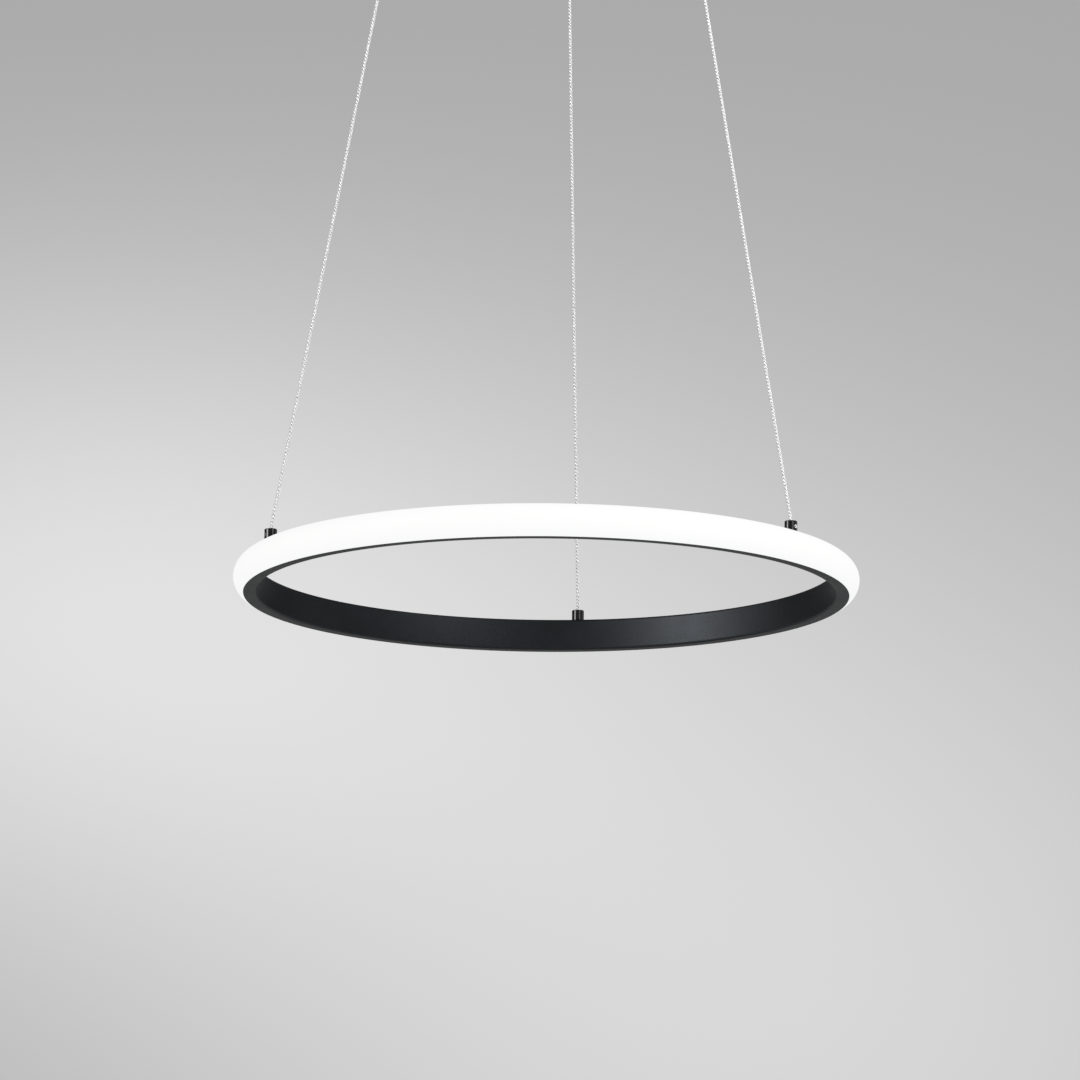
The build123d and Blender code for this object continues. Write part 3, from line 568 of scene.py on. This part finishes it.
give(opal, diffuser)
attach(diffuser, "ring")
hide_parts("diffuser_ring")


# Feed wires
# Two short solid wires of tinned copper inside the channel, bent by hand and soldered. They take the current
# from the bared ends of two cables to the strip.

tinned_copper = new_finish(
    "tinned_copper", grain, 0.005 * MM,
    {"Colour": (0.66, 0.65, 0.62), "Second Colour": (0.78, 0.77, 0.75), "Grain Size": 0.3 * MM,
     "Smudge Size": 4.0 * MM, "Smoothest": 0.22, "Roughest": 0.4},
    Metallic=1.0,
)
give(tinned_copper, nodes["feed_wires"])


# Ceiling plate
# A zinc-plated steel disc with a turned-down skirt, screwed to the ceiling by two screws. A black nylon bush
# snaps into the hole where the supply cable comes through.

give(zinc_plate, nodes["ceiling_plate"])
give(matt_black, nodes["entry_bush"])


# Driver and wiring
# A white moulded driver and a natural nylon terminal block sit under the plate on zinc-plated screws, with
# grey supply leads, a green earth lead under a brass screw, and red leads to the crimps on two cables.

white_case = new_finish(
    "white_case", grain, 0.015 * MM,
    {"Colour": (0.72, 0.72, 0.70), "Second Colour": (0.80, 0.80, 0.79), "Grain Size": 0.35 * MM,
     "Smudge Size": 20.0 * MM, "Smoothest": 0.42, "Roughest": 0.55},
)
give(white_case, nodes["led_driver"])
natural_nylon = new_finish(
    "natural_nylon", grain, 0.01 * MM,
    {"Colour": (0.72, 0.70, 0.60), "Second Colour": (0.80, 0.78, 0.70), "Grain Size": 0.3 * MM,
     "Smudge Size": 10.0 * MM, "Smoothest": 0.36, "Roughest": 0.5},
)
give(natural_nylon, nodes["terminal_block"])
give(zinc_plate, nodes["driver_screws"], nodes["terminal_screws"], nodes["terminal_fixing_screw"])
brass = new_finish(
    "brass", turning, 0.002 * MM,
    {"Colour": (0.62, 0.44, 0.16), "Second Colour": (0.76, 0.57, 0.25), "Line Width": 0.12 * MM,
     "Smoothest": 0.2, "Roughest": 0.34},
    Metallic=1.0,
)
give(brass, nodes["earth_screw"])
LEAD_COLOURS = {
    "mains_leads": ((0.07, 0.07, 0.075), (0.10, 0.10, 0.105)),
    "earth_lead": ((0.045, 0.21, 0.025), (0.07, 0.28, 0.04)),
    "output_leads": ((0.21, 0.008, 0.006), (0.28, 0.014, 0.010)),
}
for node, (first, second) in LEAD_COLOURS.items():
    lead_jacket = new_finish(
        f"{node}_jacket", grain, 0.006 * MM,
        {"Colour": first, "Second Colour": second, "Grain Size": 0.25 * MM, "Smudge Size": 6.0 * MM,
         "Smoothest": 0.34, "Roughest": 0.48},
    )
    give(lead_jacket, nodes[node])
give(tinned_copper, nodes["lead_crimps"])


# Canopy cover
# A deep-drawn steel cup in the same black powder coat as the ring. It hides plate and driver, and three black
# slotted screws through its side hold it to the plate's skirt.

give(powder_coat, nodes["canopy_cover"])
black_oxide = new_finish(
    "black_oxide", grain, 0.006 * MM,
    {"Colour": (0.018, 0.018, 0.019), "Second Colour": (0.034, 0.034, 0.035), "Grain Size": 0.2 * MM,
     "Smudge Size": 4.0 * MM, "Smoothest": 0.28, "Roughest": 0.42},
    Metallic=0.5,
)
give(black_oxide, nodes["canopy_screws"])


# Cable grippers at the ceiling
# Black anodised bodies held in the cover by hexagon nuts and closed by brass plugs. In each cone sits a
# nickel-plated plunger with three plated balls, and a coil spring pushes it down to wedge the cable.

SPRING_WIRE_R = 0.3 * MM
SPRING_R = 2.6 * MM
SPRING_TURNS = 6
SPRING_STEPS = 40
SPRING_SIDES = 10
nickel = new_finish(
    "nickel", turning, 0.001 * MM,
    {"Colour": (0.66, 0.63, 0.58), "Second Colour": (0.76, 0.73, 0.69), "Line Width": 0.1 * MM,
     "Smoothest": 0.1, "Roughest": 0.2},
    Metallic=1.0,
)
spring_steel = new_finish(
    "spring_steel", grain, 0.003 * MM,
    {"Colour": (0.42, 0.42, 0.42), "Second Colour": (0.55, 0.55, 0.55), "Grain Size": 0.2 * MM,
     "Smudge Size": 3.0 * MM, "Smoothest": 0.24, "Roughest": 0.36},
    Metallic=1.0,
)
give(zinc_plate, nodes["gripper_nuts"])
give(brass, nodes["gripper_end_plugs"])
for number in CABLES:
    give(black_anodised, nodes[f"ceiling_gripper_{number}"])
    give(nickel, nodes[f"release_plunger_{number}"], nodes[f"lock_balls_{number}"])
    spring_low, spring_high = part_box(f"plunger_spring_{number}")
    axis = middle_of(f"release_plunger_{number}")
    coil_low = spring_low.z + SPRING_WIRE_R
    coil_rise = spring_high.z - SPRING_WIRE_R - coil_low
    coil = []
    for step in range(SPRING_TURNS * SPRING_STEPS + 1):
        angle = 2 * pi * step / SPRING_STEPS
        height = coil_low + coil_rise * step / (SPRING_TURNS * SPRING_STEPS)
        coil.append(Vector((axis.x + SPRING_R * cos(angle), axis.y + SPRING_R * sin(angle), height)))
    spring_wire = bmesh.new()
    add_tube(spring_wire, coil, SPRING_WIRE_R, SPRING_SIDES, beside=(0, 0, 1))
    spring = shown_object(spring_wire, f"spring_{number}")
    give(spring_steel, spring)
    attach(spring, "canopy")
    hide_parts(f"plunger_spring_{number}")
    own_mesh(spring)


# Studio
# A plain pale floor at a room's height below the ceiling, a grey wall with two soft pools of light, a soft
# lamp on the right, four cards that only mirror in gloss, and a long lens that looks slightly up at the ring.

ROOM_HEIGHT = 2.45
FLOOR_HALF = 30.0
CAMERA_AZIMUTH = radians(6.47)
CAMERA_ELEVATION = radians(-11.0)
CAMERA_DISTANCE = 4.153
CAMERA_ROLL = 0.0077
CAMERA_LENS = 216.7
AIM_RIGHT = -4.2 * MM
AIM_UP = 36.2 * MM

floor_mesh = bmesh.new()
bmesh.ops.create_grid(floor_mesh, x_segments=1, y_segments=1, size=FLOOR_HALF,
                      matrix=Matrix.Translation((0, 0, -ROOM_HEIGHT)))
floor = shown_object(floor_mesh, "floor")
floor_paint = bpy.data.materials.new("floor_paint")
floor_paint.use_nodes = True
floor_tree = floor_paint.node_tree
floor_shader = floor_tree.nodes["Principled BSDF"]
floor_shader.inputs["Base Color"].default_value = (0.46, 0.46, 0.46, 1.0)
floor_shader.inputs["Roughness"].default_value = 0.8
under_floor = add_node(floor_tree, "ShaderNodeBsdfTransparent").outputs[0]
from_below = add_node(floor_tree, "ShaderNodeNewGeometry").outputs["Backfacing"]
floor_mix = add_node(floor_tree, "ShaderNodeMixShader", _0=from_below, _1=floor_shader.outputs[0],
                     _2=under_floor)
floor_tree.links.new(floor_mix.outputs[0], floor_tree.nodes["Material Output"].inputs["Surface"])
give(floor_paint, floor)

away = Vector((-sin(CAMERA_AZIMUTH), cos(CAMERA_AZIMUTH), 0))
right = Vector((cos(CAMERA_AZIMUTH), sin(CAMERA_AZIMUTH), 0))
upright = Vector((0, 0, 1))
ring_centre = Vector((0, 0, RING_LOW.z))
back = sin(CAMERA_ELEVATION) * upright - cos(CAMERA_ELEVATION) * away
camera_up = back.cross(right)
camera = bpy.data.objects.new("camera", bpy.data.cameras.new("camera"))
bpy.context.scene.collection.objects.link(camera)
camera.data.lens = CAMERA_LENS
camera.location = ring_centre + CAMERA_DISTANCE * back
aim = ring_centre + AIM_RIGHT * right + AIM_UP * camera_up - camera.location
view_axis = -aim.normalized()
view_right = upright.cross(view_axis).normalized()
view_turn = Matrix((view_right, view_axis.cross(view_right), view_axis)).transposed()
camera.matrix_world = (
    Matrix.Translation(camera.location) @ view_turn.to_4x4() @ Matrix.Rotation(CAMERA_ROLL, 4, "Z")
)
bpy.context.scene.camera = camera

LAMP_DISTANCE = 1.9
LAMPS = {
    "key_lamp": {"side": (0.70, -0.60, 0.40), "size": (1.0, 1.6), "power": 44.0, "mirrored": False},
    "left_card": {"side": (-0.88, -0.46, 0.19), "size": (0.75, 1.6), "power": 42.0, "mirrored": True},
    "right_card": {"side": (0.60, -0.80, 0.19), "size": (0.6, 1.2), "power": 6.0, "mirrored": True},
    "high_card": {"side": (0.60, -0.50, 0.62), "size": (0.8, 0.8), "power": 7.0, "mirrored": True},
    "side_card": {"side": (0.94, 0.29, 0.19), "size": (0.35, 0.35), "power": 0.55, "mirrored": True},
}
for name, lamp in LAMPS.items():
    light = bpy.data.objects.new(name, bpy.data.lights.new(name, "AREA"))
    bpy.context.scene.collection.objects.link(light)
    light.data.shape = "RECTANGLE"
    light.data.size, light.data.size_y = lamp["size"]
    light.data.energy = lamp["power"]
    lamp_way = lamp["side"][0] * right + lamp["side"][1] * away + lamp["side"][2] * upright
    light.location = ring_centre + LAMP_DISTANCE * lamp_way.normalized()
    light.rotation_mode = "QUATERNION"
    light.rotation_quaternion = lamp_way.to_track_quat("Z", "Y")
    light.visible_camera = False
    light.visible_diffuse = not lamp["mirrored"]
    light.visible_glossy = lamp["mirrored"]

# The plate's top lies against the ceiling, so the high card is kept off the plate.
off_the_card = bpy.data.collections.new("off_the_card")
off_the_card.objects.link(nodes["ceiling_plate"])
off_the_card.collection_objects[0].light_linking.link_state = "EXCLUDE"
bpy.data.objects["high_card"].light_linking.receiver_collection = off_the_card

WALL_LEVEL = 0.386
POOLS = (
    {"strength": 0.29, "right": -0.079, "up": 0.0, "width": 0.090, "height": 0.052},
    {"strength": 0.29, "right": 0.036, "up": -0.062, "width": 0.117, "height": 0.091},
)
AMBIENT_LEVEL = 0.84
ROOM_SHARE = 0.17
WALL_EDGE = (0.75, 0.95)
world = bpy.data.worlds.new("studio")
bpy.context.scene.world = world
world.use_nodes = True
sky = world.node_tree
sky.nodes.clear()
sky_way = add_node(sky, "ShaderNodeTexCoord").outputs["Generated"]


def along(direction):
    """Share of the looked-at direction along a fixed direction of the room."""
    return add_node(sky, "ShaderNodeVectorMath", {"operation": "DOT_PRODUCT"}, _0=sky_way,
                    _1=direction).outputs["Value"]


wall_right = along(right)
wall_up = along(camera_up)
wall_light = WALL_LEVEL
for pool in POOLS:
    across = calculate(sky, "DIVIDE", calculate(sky, "SUBTRACT", wall_right, pool["right"]), pool["width"])
    over = calculate(sky, "DIVIDE", calculate(sky, "SUBTRACT", wall_up, pool["up"]), pool["height"])
    spread = calculate(sky, "ADD", calculate(sky, "POWER", across, 2.0), calculate(sky, "POWER", over, 2.0))
    fall = calculate(sky, "EXPONENT", calculate(sky, "MULTIPLY", spread, -1.0))
    wall_light = calculate(sky, "ADD", calculate(sky, "MULTIPLY", fall, pool["strength"]), wall_light)
seen = add_node(sky, "ShaderNodeLightPath").outputs
mirrored = calculate(sky, "MAXIMUM", seen["Is Glossy Ray"], seen["Is Transmission Ray"])
shown_wall = calculate(sky, "MAXIMUM", seen["Is Camera Ray"], mirrored)
room_fade = add_node(sky, "ShaderNodeMapRange", {"interpolation_type": "SMOOTHSTEP"}, _0=along(away),
                     _1=WALL_EDGE[0], _2=WALL_EDGE[1], _3=ROOM_SHARE, _4=1.0).outputs["Result"]
mirrored_share = calculate(sky, "MAXIMUM", room_fade, calculate(sky, "SUBTRACT", 1.0, seen["Is Glossy Ray"]))
wall = add_node(sky, "ShaderNodeBackground", Strength=calculate(sky, "MULTIPLY", wall_light, mirrored_share))
ambient = add_node(sky, "ShaderNodeBackground", Strength=AMBIENT_LEVEL)
wall.inputs["Color"].default_value = (1.0, 1.0, 1.0, 1.0)
ambient.inputs["Color"].default_value = (1.0, 1.0, 1.0, 1.0)
sky_mix = add_node(sky, "ShaderNodeMixShader", _0=shown_wall, _1=ambient.outputs[0], _2=wall.outputs[0])
add_node(sky, "ShaderNodeOutputWorld", Surface=sky_mix.outputs[0])

bpy.context.scene.view_settings.view_transform = "Standard"
# The cables' twist is as fine as noise, so the guides of the noise filter aren't smoothed.
bpy.context.scene.cycles.denoising_prefilter = "NONE"
